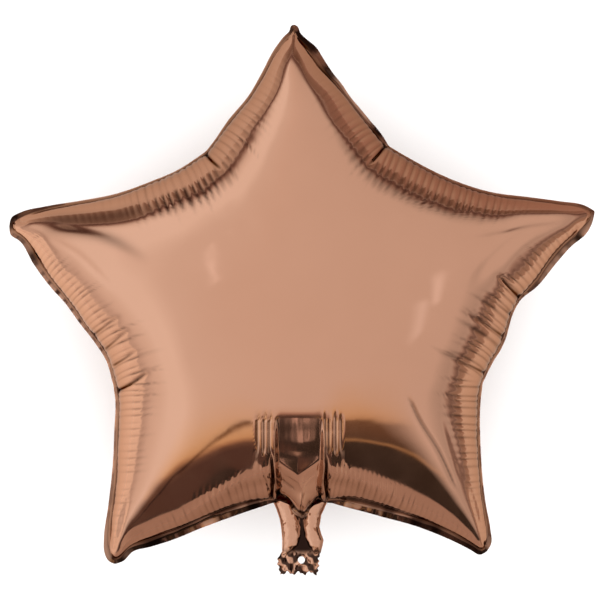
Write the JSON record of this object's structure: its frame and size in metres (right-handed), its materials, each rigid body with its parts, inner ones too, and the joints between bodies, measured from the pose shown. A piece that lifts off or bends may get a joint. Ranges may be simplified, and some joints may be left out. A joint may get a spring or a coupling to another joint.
{
  "type": "star foil balloon",
  "caption": "Inflated five-pointed star balloon of metallised foil film with a welded edge and a folded neck tail that has a ribbon hole.",
  "frame": {"origin": "under the middle of the outer box, at the height of the surface that the bag rests on", "axes": "+Z the way the front panel faces, +Y from the neck to the crown tip, +X to the right when looking at the front panel"},
  "size_m": [0.4306, 0.4042, 0.1638],
  "materials": {
    "foil_film": "rose gold metallised plastic film, glossy"
  },
  "bodies": {
    "root": {"foil_envelope": "foil_film"}
  },
  "joints": []
}
